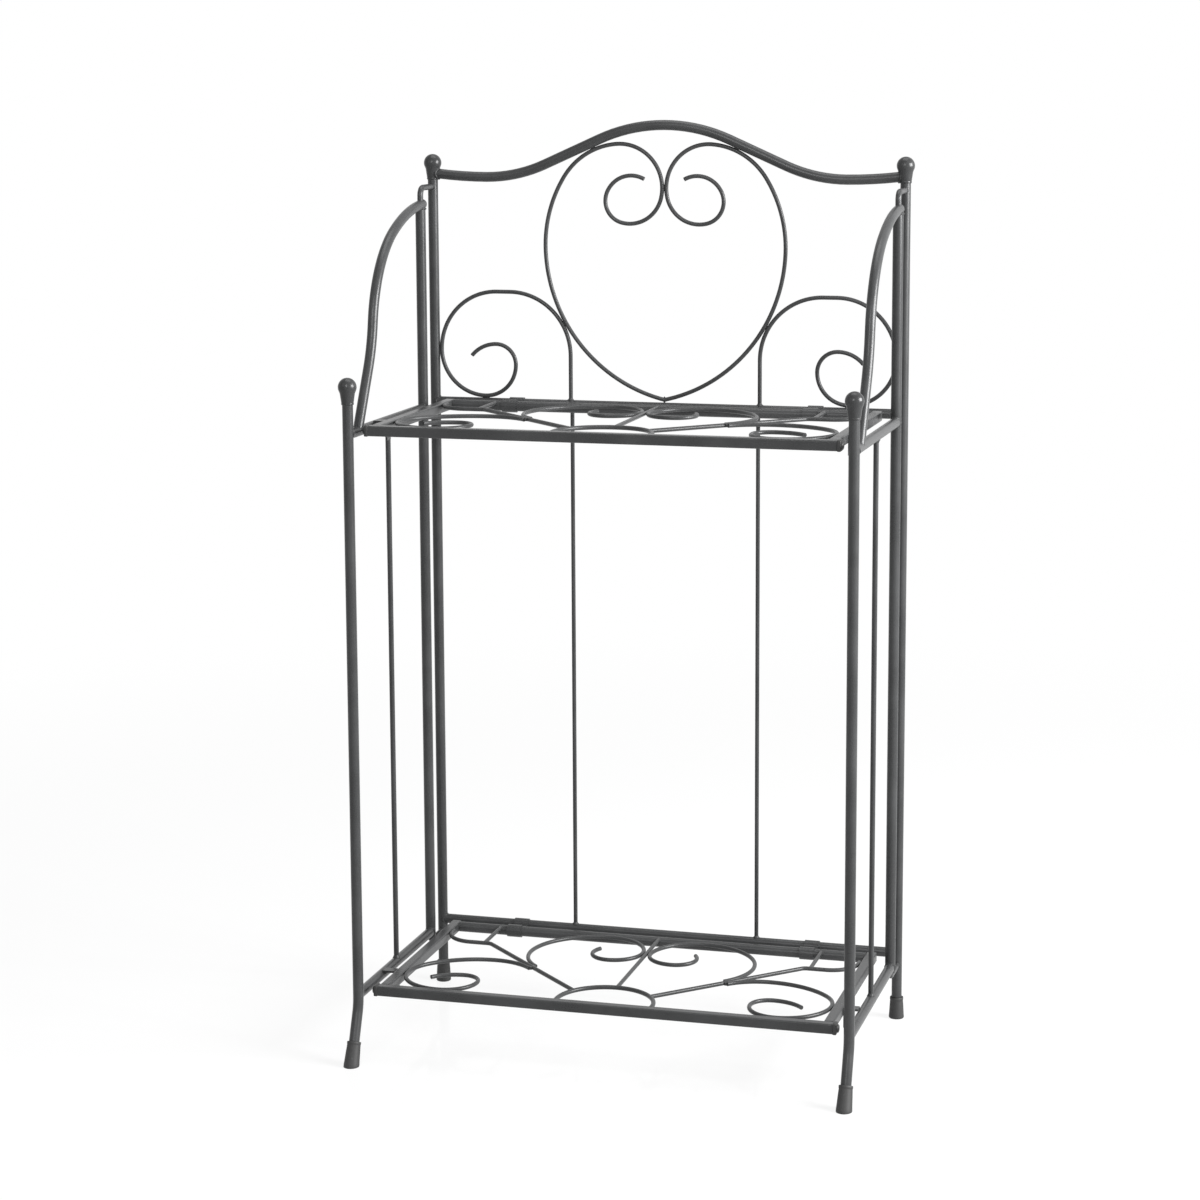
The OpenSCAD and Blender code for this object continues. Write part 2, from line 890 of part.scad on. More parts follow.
module shelf_rear_tube(z) {
    color(steel)
    in_shelf(z)
    rear_tube_shape(tube_wall);
}

module half_round_wire() {
    translate([half_round_r, -shelf_in_y - cut, wire_z])
    rotate([0, 0, 90])
    bent([[0, half_round_leg + cut], [half_round_r, 180], [0, half_round_leg + cut]],
         half_round_d);
}

module stem_wire() {
    translate([0, 0, wire_z])
    bar_y(tee_d, shelf_pivot, half_y - half_round_r);
}

module shelf_half_round(z) {
    color(steel)
    in_shelf(z)
    difference() {
        union() {
            half_round_wire();
            stem_wire();
        }
        front_rail_shape(0);
        rear_tube_shape(0);
    }
}

module slant_wire() {
    translate([slant_low_x, slant_low_x - slant_sum, 0])
    rotate([0, 0, slant_turn])
    bent(slant_steps, wire_d);
}

module large_scroll() {
    translate([large_x, -large_y, 0])
    rotate([0, 0, slant_turn])
    translate([0, -large_low_r, 0])
    bent(large_steps, wire_d);
}

module corner_scroll() {
    translate([corner_start_x, -corner_start_y, 0])
    rotate([0, 0, slant_turn])
    bent(corner_steps, wire_d);
}

// Weld bead between two wires that lie side by side
module bead(x, y) {
    translate([x, -y, 0])
    cylinder(h = bead_h, r = wire_r + bead_swell, center = true);
}

module shelf_scrolls(z, side) {
    joint_x = large_x + (large_low_r + wire_r) * cos(slant_turn);
    joint_y = large_y + (large_low_r + wire_r) * sin(slant_turn);
    color(steel)
    in_shelf(z)
    on_side(side)
    difference() {
        translate([0, 0, wire_z]) {
            slant_wire();
            large_scroll();
            corner_scroll();
            translate([link_at, 0, 0])
            bar_y(tee_d, shelf_pivot, slant_rear_y);
            bead(joint_x, joint_y);
            bead(corner_start_x - wire_r * cos(slant_turn), corner_start_y - wire_r * cos(slant_turn));
        }
        half_round_wire();
        rear_tube_shape(0);
    }
}

// Rest: a strip down the side tube with a tongue that sits on the side rail
module shelf_rest(z, side, side_z) {
    seat = rest_seat - z + side_z;
    low = -shelf_tube / 2 - rest_drop;
    color(steel)
    in_shelf(z)
    on_side(side)
    translate([shelf_w / 2, -rest_y - rest_w / 2, 0]) {
        translate([0, 0, low])
        cube([rest_t, rest_w, seat + rest_t - low]);
        translate([0, 0, seat])
        cube([rest_reach - shelf_w / 2, rest_w, rest_t]);
    }
}

module shelf_end_plugs(z) {
    color(black)
    in_shelf(z)
    for (side = [-1, 1]) {
        on_side(side)
        translate([shelf_w / 2, -shelf_front, 0])
        rotate([90, 0, 90]) {
            linear_extrude(plug_len - plug_button)
            rounded_square(shelf_tube + 2 * plug_lip, shelf_corner + plug_lip);
            cylinder(h = plug_len, d = shelf_tube - plug_button);
            translate([0, 0, -plug_shank])
            linear_extrude(plug_shank)
            square(shelf_tube - 2 * tube_wall - 2 * touch, center = true);
        }
    }
}

back_post(-1);  // back_left_post
back_post(1);  // back_right_post
back_finial(-1);  // back_left_finial
back_finial(1);  // back_right_finial
back_foot(-1);  // back_left_foot
back_foot(1);  // back_right_foot
top_arch();
back_rail(upper_rail_z);  // back_upper_rail
back_rail(lower_rail_z);  // back_lower_rail
heart_half(-1);  // heart_left
heart_half(1);  // heart_right
side_scroll(-1);  // left_side_scroll
side_scroll(1);  // right_side_scroll
back_wire(-1);  // back_left_wire
back_wire(1);  // back_right_wire
upper_hinge_pin(-1);  // left_upper_hinge_pin
upper_hinge_pin(1);  // right_upper_hinge_pin
lower_hinge_pin(-1);  // left_lower_hinge_pin
lower_hinge_pin(1);  // right_lower_hinge_pin
shelf_brackets(upper_rail_z);  // upper_shelf_brackets
shelf_brackets(lower_rail_z);  // lower_shelf_brackets
front_post(-1);  // left_front_post
front_finial(-1);  // left_front_finial
front_foot(-1);  // left_front_foot
arm(-1);  // left_arm
hinge_tube(-1);  // left_hinge_tube
hinge_bushes(-1);  // left_hinge_bushes
side_rail(-1, side_up_z);  // left_upper_side_rail
side_rail(-1, side_low_z);  // left_lower_side_rail
side_wire(-1);  // left_side_wire
front_post(1);  // right_front_post
front_finial(1);  // right_front_finial
front_foot(1);  // right_front_foot
arm(1);  // right_arm
hinge_tube(1);  // right_hinge_tube
hinge_bushes(1);  // right_hinge_bushes
side_rail(1, side_up_z);  // right_upper_side_rail
side_rail(1, side_low_z);  // right_lower_side_rail
side_wire(1);  // right_side_wire
shelf_front_rail(upper_rail_z);  // upper_front_rail
shelf_side_rail(upper_rail_z, -1);  // upper_left_rail
shelf_side_rail(upper_rail_z, 1);  // upper_right_rail
shelf_rear_tube(upper_rail_z);  // upper_rear_tube
shelf_half_round(upper_rail_z);  // upper_half_round
shelf_scrolls(upper_rail_z, -1);  // upper_left_scrolls
shelf_scrolls(upper_rail_z, 1);  // upper_right_scrolls
shelf_rest(upper_rail_z, -1, side_up_z);  // upper_left_rest
shelf_rest(upper_rail_z, 1, side_up_z);  // upper_right_rest
shelf_end_plugs(upper_rail_z);  // upper_end_plugs
shelf_front_rail(lower_rail_z);  // lower_front_rail
shelf_side_rail(lower_rail_z, -1);  // lower_left_rail
shelf_side_rail(lower_rail_z, 1);  // lower_right_rail
shelf_rear_tube(lower_rail_z);  // lower_rear_tube
shelf_half_round(lower_rail_z);  // lower_half_round
shelf_scrolls(lower_rail_z, -1);  // lower_left_scrolls
shelf_scrolls(lower_rail_z, 1);  // lower_right_scrolls
shelf_rest(lower_rail_z, -1, side_low_z);  // lower_left_rest
shelf_rest(lower_rail_z, 1, side_low_z);  // lower_right_rest
shelf_end_plugs(lower_rail_z);  // lower_end_plugs
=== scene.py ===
import json
import math

import bpy
from mathutils import Matrix, Vector
from mathutils.bvhtree import BVHTree

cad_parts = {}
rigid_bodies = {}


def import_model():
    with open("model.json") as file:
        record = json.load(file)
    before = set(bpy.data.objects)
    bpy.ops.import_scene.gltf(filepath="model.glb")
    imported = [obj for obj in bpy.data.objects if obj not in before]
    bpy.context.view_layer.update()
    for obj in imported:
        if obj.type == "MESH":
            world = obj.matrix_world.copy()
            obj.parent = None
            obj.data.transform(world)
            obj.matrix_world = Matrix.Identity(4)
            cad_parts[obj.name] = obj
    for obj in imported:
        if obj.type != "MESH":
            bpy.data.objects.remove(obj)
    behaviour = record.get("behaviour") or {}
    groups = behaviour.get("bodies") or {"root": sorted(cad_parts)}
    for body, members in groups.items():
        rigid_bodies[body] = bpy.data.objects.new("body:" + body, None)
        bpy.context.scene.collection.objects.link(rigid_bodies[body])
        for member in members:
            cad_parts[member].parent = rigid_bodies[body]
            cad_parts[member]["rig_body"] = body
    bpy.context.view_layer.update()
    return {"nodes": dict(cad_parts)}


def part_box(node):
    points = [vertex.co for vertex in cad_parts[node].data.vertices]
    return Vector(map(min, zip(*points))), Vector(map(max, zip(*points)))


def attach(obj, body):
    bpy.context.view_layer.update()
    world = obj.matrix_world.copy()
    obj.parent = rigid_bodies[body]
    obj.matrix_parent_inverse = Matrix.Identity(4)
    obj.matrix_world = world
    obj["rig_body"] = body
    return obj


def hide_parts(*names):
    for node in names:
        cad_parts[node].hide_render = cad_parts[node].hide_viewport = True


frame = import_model()
nodes = frame["nodes"]

MM = 0.001
SIDES = {"left": -1, "right": 1}
LEVELS = ("upper", "lower")

# Sizes of the stand's bars, in metres
TUBE_R = 5.2 * MM
RAIL_R = 5.0 * MM
WIRE_R = 2.1 * MM
SIDE_WIRE_R = 2.6 * MM
PIN_R = 3.0 * MM

# The photograph's camera: where it stands, where it looks, and its lens
IMAGE = 1200
CAMERA_AT = Vector((0.73814, -2.71282, 0.97487))
CAMERA_LOOK = Vector((-0.25908, 0.953361, -0.154856))
CAMERA_UP = Vector((-0.037349, 0.150321, 0.987931))
FOCAL_PIXELS = 2918.8
CENTRE_PIXEL = (629.6, 515.0)
SENSOR_MM = 36.0


def middle(node):
    low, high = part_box(node)
    return (low + high) / 2


class Value:
    """A socket's value, for sums written as Python expressions."""

    def __init__(self, finish, socket):
        self.finish = finish
        self.socket = socket

    def sum_with(self, operation, *others):
        return self.finish.node("ShaderNodeMath", {"operation": operation},
                                dict(enumerate((self, *others))))

    def __add__(self, other):
        return self.sum_with("ADD", other)

    def __radd__(self, other):
        return self.sum_with("ADD", other)

    def __sub__(self, other):
        return self.sum_with("SUBTRACT", other)

    def __rsub__(self, other):
        return (self * -1.0) + other

    def __mul__(self, other):
        return self.sum_with("MULTIPLY", other)

    def __rmul__(self, other):
        return self.sum_with("MULTIPLY", other)


class Finish:
    """A material, and the nodes that it is made of."""

    def __init__(self, name):
        self.material = bpy.data.materials.new(name)
        self.material.use_nodes = True
        self.tree = self.material.node_tree
        self.shader = self.tree.nodes["Principled BSDF"]
        self.place = self.node("ShaderNodeTexCoord", output="Object")

    def node(self, kind, settings=(), values=(), output=0):
        made = self.tree.nodes.new(kind)
        for name, setting in dict(settings).items():
            setattr(made, name, setting)
        for name, value in dict(values).items():
            self.join(value, made.inputs[name])
        return Value(self, made.outputs[output])

    def join(self, value, socket):
        if isinstance(value, Value):
            self.tree.links.new(value.socket, socket)
        else:
            socket.default_value = value

    def shade(self, **values):
        for name, value in values.items():
            self.join(value, self.shader.inputs[name.replace("_", " ")])

    def noise(self, size, detail=2.0, roughness=0.5):
        """Noise from 0 to 1 with patches about size metres across."""
        return self.node("ShaderNodeTexNoise", {},
                         {"Vector": self.place, "Scale": 1 / size, "Detail": detail,
                          "Roughness": roughness})

    def ramp(self, value, low, high):
        """0 where value is under low, 1 where it is over high."""
        return self.node("ShaderNodeMapRange", {"interpolation_type": "SMOOTHSTEP"},
                         {"Value": value, "From Min": low, "From Max": high})

    def blend(self, share, first, second):
        return self.node("ShaderNodeMix", {"data_type": "RGBA"},
                         {"Factor": share, 6: first, 7: second}, output=2)

    def bump(self, height, depth, strength):
        return self.node("ShaderNodeBump", {},
                         {"Height": height, "Distance": depth, "Strength": strength})


def grey(level, tint=(1.0, 1.0, 1.0)):
    return (level * tint[0], level * tint[1], level * tint[2], 1.0)


# Stove enamel: its cool tint, and how large its patches, its orange peel and its flakes are
COOL = (0.98, 1.0, 1.02)
PATCH_SIZE = 60 * MM
PEEL_SIZE = 1.1 * MM
PEEL_DEPTH = 0.12 * MM
FLAKE_SIZE = 0.28 * MM
FLAKE_GREY = 0.32
ENAMEL_METAL = 0.1
ENAMEL_SHINE = 0.23


def stove_enamel(name, dark, light, roughness, flake, peel):
    """Dark painted steel: orange peel, metal flake, thin and thick patches of paint."""
    finish = Finish(name)
    patches = finish.ramp(finish.noise(PATCH_SIZE, 3.0, 0.6), 0.35, 0.7)
    grain = finish.noise(PEEL_SIZE, 2.0, 0.55)
    fine = finish.noise(FLAKE_SIZE, 1.0)
    sparkle = finish.ramp(fine, 0.62, 0.8) * flake
    body = finish.blend(patches, grey(dark, COOL), grey(light, COOL))
    finish.shade(
        Base_Color=finish.blend(sparkle, body, grey(FLAKE_GREY, COOL)),
        Roughness=roughness + grain * 0.12 + patches * 0.05 - 0.06,
        Metallic=ENAMEL_METAL,
        Specular_IOR_Level=ENAMEL_SHINE,
        Normal=finish.bump(grain + fine * 0.3, PEEL_DEPTH, peel),
    )
    return finish.material


# Moulded plastic: how large its scuffs are, and how much paler than the rest
SCUFF_SIZE = 4 * MM
SCUFF_PALER = 0.06


def moulded(name, level, roughness, grain_size, depth, scuff):
    """Black rubber or plastic with a fine matt grain and faint pale scuffs."""
    finish = Finish(name)
    grain = finish.noise(grain_size, 3.0, 0.6)
    scuffs = finish.ramp(finish.noise(SCUFF_SIZE, 4.0, 0.7), 0.6, 0.78) * scuff
    finish.shade(
        Base_Color=finish.blend(scuffs, grey(level), grey(level + SCUFF_PALER)),
        Roughness=roughness + grain * 0.15,
        Normal=finish.bump(grain, depth, 0.35),
    )
    return finish.material


paints = {
    "tube_paint": stove_enamel("tube_paint_finish", dark=0.036, light=0.048, roughness=0.28,
                               flake=0.22, peel=0.20),
    "wire_paint": stove_enamel("wire_paint_finish", dark=0.034, light=0.045, roughness=0.32,
                               flake=0.18, peel=0.22),
    "finial_paint": stove_enamel("finial_paint_finish", dark=0.030, light=0.040, roughness=0.24,
                                 flake=0.18, peel=0.12),
    "foot_plastic": moulded("foot_rubber_finish", level=0.018, roughness=0.55,
                            grain_size=0.5 * MM, depth=0.05 * MM, scuff=0.5),
    # The end plugs' near-black level is painted shade for the dark gap at each shelf's front
    # corner, not only the plastic's own colour.
    "plug_plastic": moulded("plug_painted_shade_finish", level=0.014, roughness=0.42,
                            grain_size=0.35 * MM, depth=0.03 * MM, scuff=0.2),
    "bush_nylon": moulded("bush_nylon_finish", level=0.02, roughness=0.38,
                          grain_size=0.4 * MM, depth=0.02 * MM, scuff=0.1),
    "weld_paint": stove_enamel("weld_paint_finish", dark=0.024, light=0.034, roughness=0.44,
                               flake=0.15, peel=0.5),
}


def paint(thing, name):
    thing.data.materials.clear()
    thing.data.materials.append(paints[name])


def slot_of(node):
    if "finial" in node:
        return "finial_paint"
    if "foot" in node:
        return "foot_plastic"
    if "plug" in node:
        return "plug_plastic"
    if "bush" in node:
        return "bush_nylon"
    if any(word in node for word in ("heart", "scroll", "wire", "half_round")):
        return "wire_paint"
    return "tube_paint"


for node_name, node in nodes.items():
    paint(node, slot_of(node_name))


# Ways of shaping a piece: each starts with nothing selected


def deselect():
    if bpy.context.mode != "OBJECT":
        bpy.ops.object.mode_set(mode="OBJECT")
    bpy.ops.object.select_all(action="DESELECT")


def named(name):
    made = bpy.context.active_object
    made.name = name
    made.data.name = name
    return made


def pick(thing):
    deselect()
    thing.select_set(True)
    bpy.context.view_layer.objects.active = thing


def modified(thing, kind, **settings):
    pick(thing)
    modifier = thing.modifiers.new(kind.lower(), kind)
    for name, value in settings.items():
        setattr(modifier, name, value)
    bpy.ops.object.modifier_apply(modifier=modifier.name)
    return thing


def smooth(thing, angle):
    """Shades smooth, but for edges that turn by more than the angle, in degrees."""
    pick(thing)
    bpy.ops.object.shade_smooth_by_angle(angle=math.radians(angle))
    return thing


# Facets round a turned shape, and the angle in degrees up to which its edges shade smooth
TURNED_SIDES = 48
BUTTON_SIDES = 32
SMOOTH_TO = 40


def turned(name, profile, sides=TURNED_SIDES):
    """A turned shape: rings of (radius, height), each extruded from the one before."""
    deselect()
    radius, height = profile[0]
    bpy.ops.mesh.primitive_circle_add(vertices=sides, radius=radius, fill_type="NGON",
                                      location=(0, 0, height))
    made = named(name)
    bpy.ops.object.transform_apply(location=True, rotation=False, scale=False)
    bpy.ops.object.mode_set(mode="EDIT")
    bpy.ops.mesh.select_all(action="SELECT")
    for next_radius, next_height in profile[1:]:
        bpy.ops.mesh.extrude_region_move(
            TRANSFORM_OT_translate={"value": (0, 0, next_height - height)})
        share = next_radius / radius
        bpy.ops.transform.resize(value=(share, share, 1),
                                 center_override=(0, 0, next_height))
        radius, height = next_radius, next_height
    bpy.ops.mesh.select_all(action="SELECT")
    bpy.ops.mesh.normals_make_consistent(inside=False)
    bpy.ops.object.mode_set(mode="OBJECT")
    return made


def copied(thing, name):
    twin = thing.copy()
    twin.data = thing.data.copy()
    twin.name = name
    twin.data.name = name
    bpy.context.scene.collection.objects.link(twin)
    return twin


def put(thing, matrix):
    """Puts the piece's mesh in place; the object stays at the origin."""
    thing.data.transform(matrix)
    if matrix.determinant() < 0:
        thing.data.flip_normals()
    return thing


def joined(things, name):
    deselect()
    for thing in things:
        thing.select_set(True)
    bpy.context.view_layer.objects.active = things[0]
    bpy.ops.object.join()
    return named(name)


def finished(thing, slot, body, material=None):
    paint(thing, material or slot)
    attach(thing, body)
    return thing


def body_at(node):
    return nodes[node]["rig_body"]


# Finials: a ball on a tapered skirt, turned in one piece

BALL_R = 9.0 * MM
BALL_STEPS = 16
BALL_TIP_R = 0.15 * MM
SKIRT = 17.0 * MM
SKIRT_LOW_R = TUBE_R + 0.8 * MM
NECK_R = 7.2 * MM
NECK_DROP = 0.8 * MM
FLARE_START = 2.3 * MM
SEAT = 4.0 * MM

# The play between a cap and its tube, and the small hole where a pocket's floor starts
FIT = 0.05 * MM
POCKET_TIP_R = 0.4 * MM

# The skirt's lip: how far each point stands out, and its height over the skirt's end
SKIRT_LIP = ((-0.3 * MM, 0), (0, 0.3 * MM), (0.1 * MM, 1.4 * MM), (-0.1 * MM, 1.9 * MM))


def finial_profile():
    """From the pocket's top, down the bore, round the skirt's lip and up over the ball."""
    rings = [(POCKET_TIP_R, FIT - SEAT), (TUBE_R + FIT, FIT - SEAT), (TUBE_R + FIT, -SKIRT)]
    rings += [(SKIRT_LOW_R + out, rise - SKIRT) for out, rise in SKIRT_LIP]
    neck_z = -math.sqrt(BALL_R ** 2 - NECK_R ** 2)
    flare_low = FLARE_START - SKIRT
    flare_high = neck_z - NECK_DROP
    rings += [(SKIRT_LOW_R + (NECK_R - SKIRT_LOW_R) * share,
               flare_low + (flare_high - flare_low) * share)
              for share in (0, 0.35, 0.7, 1)]
    start = math.asin(neck_z / BALL_R)
    for step in range(1, BALL_STEPS):
        angle = start + (math.pi / 2 - start) * step / BALL_STEPS
        rings.append((BALL_R * math.cos(angle), BALL_R * math.sin(angle)))
    rings.append((BALL_TIP_R, BALL_R))
    return rings


finial = smooth(turned("finial_pattern", finial_profile()), SMOOTH_TO)
for node_name in [n for n in nodes if "finial" in n]:
    spot = middle(node_name)
    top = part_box(node_name)[1].z
    twin = copied(finial, node_name + "_turned")
    put(twin, Matrix.Translation((spot.x, spot.y, top - BALL_R)))
    finished(twin, "finial_paint", body_at(node_name))
    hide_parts(node_name)
bpy.data.objects.remove(finial)


# Feet: moulded caps with a rolled lip, a waist and a rounded lower edge

FOOT_H = 22.0 * MM
FOOT_TOP_R = 6.85 * MM
FOOT_LOW_R = 7.75 * MM
LEG_END = 5.0 * MM

# A leaning foot: its leg's lean, how much longer its cap is, and the edge of its cut sole
KICK = math.radians(22)
KICK_LONGER = 2 * MM
SOLE_BEVEL = 0.35 * MM
SOLE_EDGE_ANGLE = math.radians(55)

# The mouth and the rolled lip: how far each point is out from the tube or wall, and its drop
FOOT_MOUTH = ((FIT, 0.6 * MM), (0.6 * MM, 0.05 * MM))
FOOT_LIP = ((-0.3 * MM, 0), (0, 0.4 * MM), (0.02 * MM, 2.4 * MM), (-0.22 * MM, 2.9 * MM),
            (-0.2 * MM, 3.8 * MM))

# The waist between lip and sole, and the sole's edge as inset and height
WAIST_DROP = 4 * MM
WAIST_LOW = 2 * MM
WAIST_IN = 0.1 * MM
FOOT_SOLE = ((0, 1.6 * MM), (0, 0.6 * MM), (0.5 * MM, 0))
SOLE_IN = 0.6 * MM
SOLE_ROUND = 0.5 * MM


def foot_profile(height, low_z):
    """From the pocket's floor, up the bore, over the lip and down the outside to the sole."""
    rings = [(POCKET_TIP_R, LEG_END - FIT), (TUBE_R + FIT, LEG_END - FIT)]
    rings += [(TUBE_R + out, height - drop) for out, drop in FOOT_MOUTH]
    rings += [(FOOT_TOP_R + out, height - drop) for out, drop in FOOT_LIP]
    for share in (0.3, 0.6, 0.85):
        z = (height - WAIST_DROP) * (1 - share) + WAIST_LOW * share
        rings.append((FOOT_TOP_R + (FOOT_LOW_R - FOOT_TOP_R) * share - WAIST_IN, z))
    rings += [(FOOT_LOW_R - inset, z) for inset, z in FOOT_SOLE]
    rings += [(FOOT_LOW_R - SOLE_IN, low_z), (POCKET_TIP_R, low_z)]
    return rings


def foot_cap(name, lean):
    """A cap turned upright, then leant and cut flat at the floor where its leg leans."""
    if not lean:
        return smooth(turned(name, foot_profile(FOOT_H, 0.0)), SMOOTH_TO)
    rings = foot_profile(FOOT_H + KICK_LONGER, -FOOT_LOW_R)
    rings = [(r, z) for r, z in rings if z > SOLE_ROUND or z < 0]
    rings.insert(-2, (FOOT_LOW_R, SOLE_ROUND - FOOT_LOW_R))
    cap = turned(name, rings)
    put(cap, Matrix.Rotation(-lean, 4, "X"))
    pick(cap)
    bpy.ops.object.mode_set(mode="EDIT")
    bpy.ops.mesh.select_all(action="SELECT")
    bpy.ops.mesh.bisect(plane_co=(0, 0, 0), plane_no=(0, 0, 1), use_fill=True,
                        clear_inner=True)
    bpy.ops.object.mode_set(mode="OBJECT")
    modified(cap, "BEVEL", width=SOLE_BEVEL, segments=2, limit_method="ANGLE",
             angle_limit=SOLE_EDGE_ANGLE)
    return smooth(cap, SMOOTH_TO)


for end, lean in (("back", 0), ("front", KICK)):
    cap = foot_cap(end + "_foot_pattern", lean)
    for side in SIDES:
        node_name = f"back_{side}_foot" if end == "back" else f"{side}_front_foot"
        spot = middle(node_name)
        if lean:
            leg_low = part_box(f"{side}_front_post")[0]
            spot.y = leg_low.y + TUBE_R * math.cos(lean) - LEG_END * math.sin(lean)
        twin = put(copied(cap, node_name + "_cap"), Matrix.Translation((spot.x, spot.y, 0)))
        finished(twin, "foot_plastic", body_at(node_name))
        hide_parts(node_name)
    bpy.data.objects.remove(cap)


# End plugs: square caps with a domed button, pushed into the front rails' ends. Their near
# black is painted shade, standing in for the dark gap between each shelf's front corner and the
# side rail.

PLUG_HALF = 5.4 * MM
PLUG_T = 4.0 * MM
PLUG_BEVEL = 1.1 * MM
PLUG_LEN = 6.0 * MM
SHANK_LEN = 8 * MM
SHANK_W = 7.6 * MM
SHANK_BEVEL = 0.5 * MM

# The button: its radius, how deep it is rooted, and each point's inset and rise over the head
BUTTON_R = 4.0 * MM
BUTTON_ROOT = 1 * MM
BUTTON_ROOT_TIP_R = 0.3 * MM
BUTTON_TIP_R = 0.2 * MM
BUTTON_DOME = ((0, 0.7 * MM), (0.25 * MM, 1.3 * MM), (0.9 * MM, 1.7 * MM),
               (BUTTON_R / 2, 1.92 * MM))


def bevelled_bar(name, low_x, high_x, width, bevel, segments):
    """A square bar along X, with its edges rounded."""
    deselect()
    bpy.ops.mesh.primitive_cube_add(size=1, location=((low_x + high_x) / 2, 0, 0),
                                    scale=(high_x - low_x, width, width))
    bar = named(name)
    bpy.ops.object.transform_apply(location=True, rotation=False, scale=True)
    return modified(bar, "BEVEL", width=bevel, segments=segments, limit_method="ANGLE")


def end_plug():
    """One plug on the origin, facing +X: a bevelled square head with a round button."""
    head = bevelled_bar("plug_head", 0, PLUG_T, 2 * PLUG_HALF, PLUG_BEVEL, 4)
    rings = [(BUTTON_ROOT_TIP_R, PLUG_T - BUTTON_ROOT), (BUTTON_R, PLUG_T - BUTTON_ROOT)]
    rings += [(BUTTON_R - inset, PLUG_T + rise) for inset, rise in BUTTON_DOME]
    rings.append((BUTTON_TIP_R, PLUG_LEN))
    button = turned("plug_button", rings, BUTTON_SIDES)
    put(button, Matrix.Rotation(math.radians(90), 4, "Y"))
    shank = bevelled_bar("plug_shank", -SHANK_LEN, 0, SHANK_W, SHANK_BEVEL, 2)
    return smooth(joined([head, button, shank], "plug_pattern"), SMOOTH_TO)


plug = end_plug()
for level in LEVELS:
    rail_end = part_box(level + "_front_rail")[1].x
    spot = middle(level + "_front_rail")
    pair = []
    for side, sign in SIDES.items():
        turn = Matrix.Scale(sign, 4, (1, 0, 0))
        place = Matrix.Translation((sign * rail_end, spot.y, spot.z))
        pair.append(put(copied(plug, f"{level}_{side}_plug"), place @ turn))
    caps = joined(pair, level + "_end_plug_shade_caps")
    finished(caps, "plug_plastic", body_at(level + "_end_plugs"))
    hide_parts(level + "_end_plugs")
bpy.data.objects.remove(plug)


# Weld beads: uneven rings where one bar meets another, and runs where bars lie side by side

X, Y, Z = Vector((1, 0, 0)), Vector((0, 1, 0)), Vector((0, 0, 1))

# A ring's thickness as a radius, round tubes, side wires, pins and the hinge tube's end
TUBE_BEAD_R = 1.0 * MM
SIDE_WIRE_BEAD_R = 0.9 * MM
SMALL_BEAD_R = 0.8 * MM
ARM_BEAD_R = 1.1 * MM
ARCH_BEAD_R = 1.2 * MM
WIRE_FLARE = 0.5 * MM
ARCH_HOST_R = 6.7 * MM

# A run's length, width and height
HEART_RUN = (7 * MM, 2.6 * MM, 2.6 * MM)
SIDE_SCROLL_RUN = (8 * MM, 2.6 * MM, 2.6 * MM)
ARM_FOOT_RUN = (14 * MM, 8 * MM, 3 * MM)
SHELF_SCROLL_RUN = (6.5 * MM, 2.8 * MM, 2.6 * MM)
RAIL_CORNER_RUN = (10 * MM, 1.6 * MM, 9 * MM)
HALF_ROUND_RUN = (6.5 * MM, 3.2 * MM, 3.6 * MM)

# How uneven rings and runs are, as shares of their thickness, and how deep a saddle sags
RING_UNEVEN = 0.22
RUN_UNEVEN = 0.06
SADDLE_LEAST = 0.12

# How near two pieces come where a weld sits, from crossing wires to butted square rails
WIRE_REACH = 0.35 * MM
CLOSE_REACH = 0.3 * MM
SEATED_REACH = 0.2 * MM
ARM_END_REACH = 0.15 * MM
BUTTED_REACH = 0.1 * MM

# Steps in which an edge is searched for such places, and how far one place spreads
SEARCH_STEP = 1.5 * MM
PLACE_SPREAD = 14 * MM

# The angle in degrees up to which a weld's facets shade smooth
WELDS_SMOOTH_TO = 60

# Where a side scroll ends over the cross rail, from its lowest X, and the room kept there
SCROLL_FOOT_IN = 0.9 * MM
SCROLL_FOOT_ROOM = 8 * MM


def frame_at(point, up, along):
    """A matrix whose Z is up and whose X is nearest to along."""
    up = up.normalized()
    across = up.cross(along).normalized()
    along = across.cross(up)
    matrix = Matrix((along, across, up)).transposed().to_4x4()
    return Matrix.Translation(point) @ matrix


def roughened(thing, offset, seed):
    """Moves the points of a bead a little, at random."""
    bpy.ops.object.mode_set(mode="EDIT")
    bpy.ops.mesh.select_all(action="SELECT")
    bpy.ops.transform.vertex_random(offset=offset, uniform=0.6, normal=0.6, seed=seed)
    bpy.ops.object.mode_set(mode="OBJECT")
    return thing


def saddle_bead(seed, pipe_r, host_r, bead_r):
    """A ring round a bar on +Z where it meets a round bar on X; flat where host_r is 0."""
    deselect()
    bpy.ops.mesh.primitive_torus_add(major_radius=pipe_r, minor_radius=bead_r,
                                     major_segments=36, minor_segments=8)
    bead = roughened(named("bead"), bead_r * RING_UNEVEN, seed)
    if host_r:
        for vertex in bead.data.vertices:
            rest = host_r ** 2 - min(abs(vertex.co.y), pipe_r) ** 2
            vertex.co.z += math.sqrt(max(rest, (SADDLE_LEAST * host_r) ** 2))
    return modified(bead, "SUBSURF", levels=1, render_levels=1)


def run_bead(seed, length, width, height):
    """A lumpy run of weld on the origin along X."""
    deselect()
    bpy.ops.mesh.primitive_uv_sphere_add(segments=16, ring_count=10, radius=1,
                                         scale=(length / 2, width / 2, height / 2))
    bead = named("bead")
    bpy.ops.object.transform_apply(location=False, rotation=False, scale=True)
    roughened(bead, width * RUN_UNEVEN, seed)
    return modified(bead, "SUBSURF", levels=1, render_levels=1)


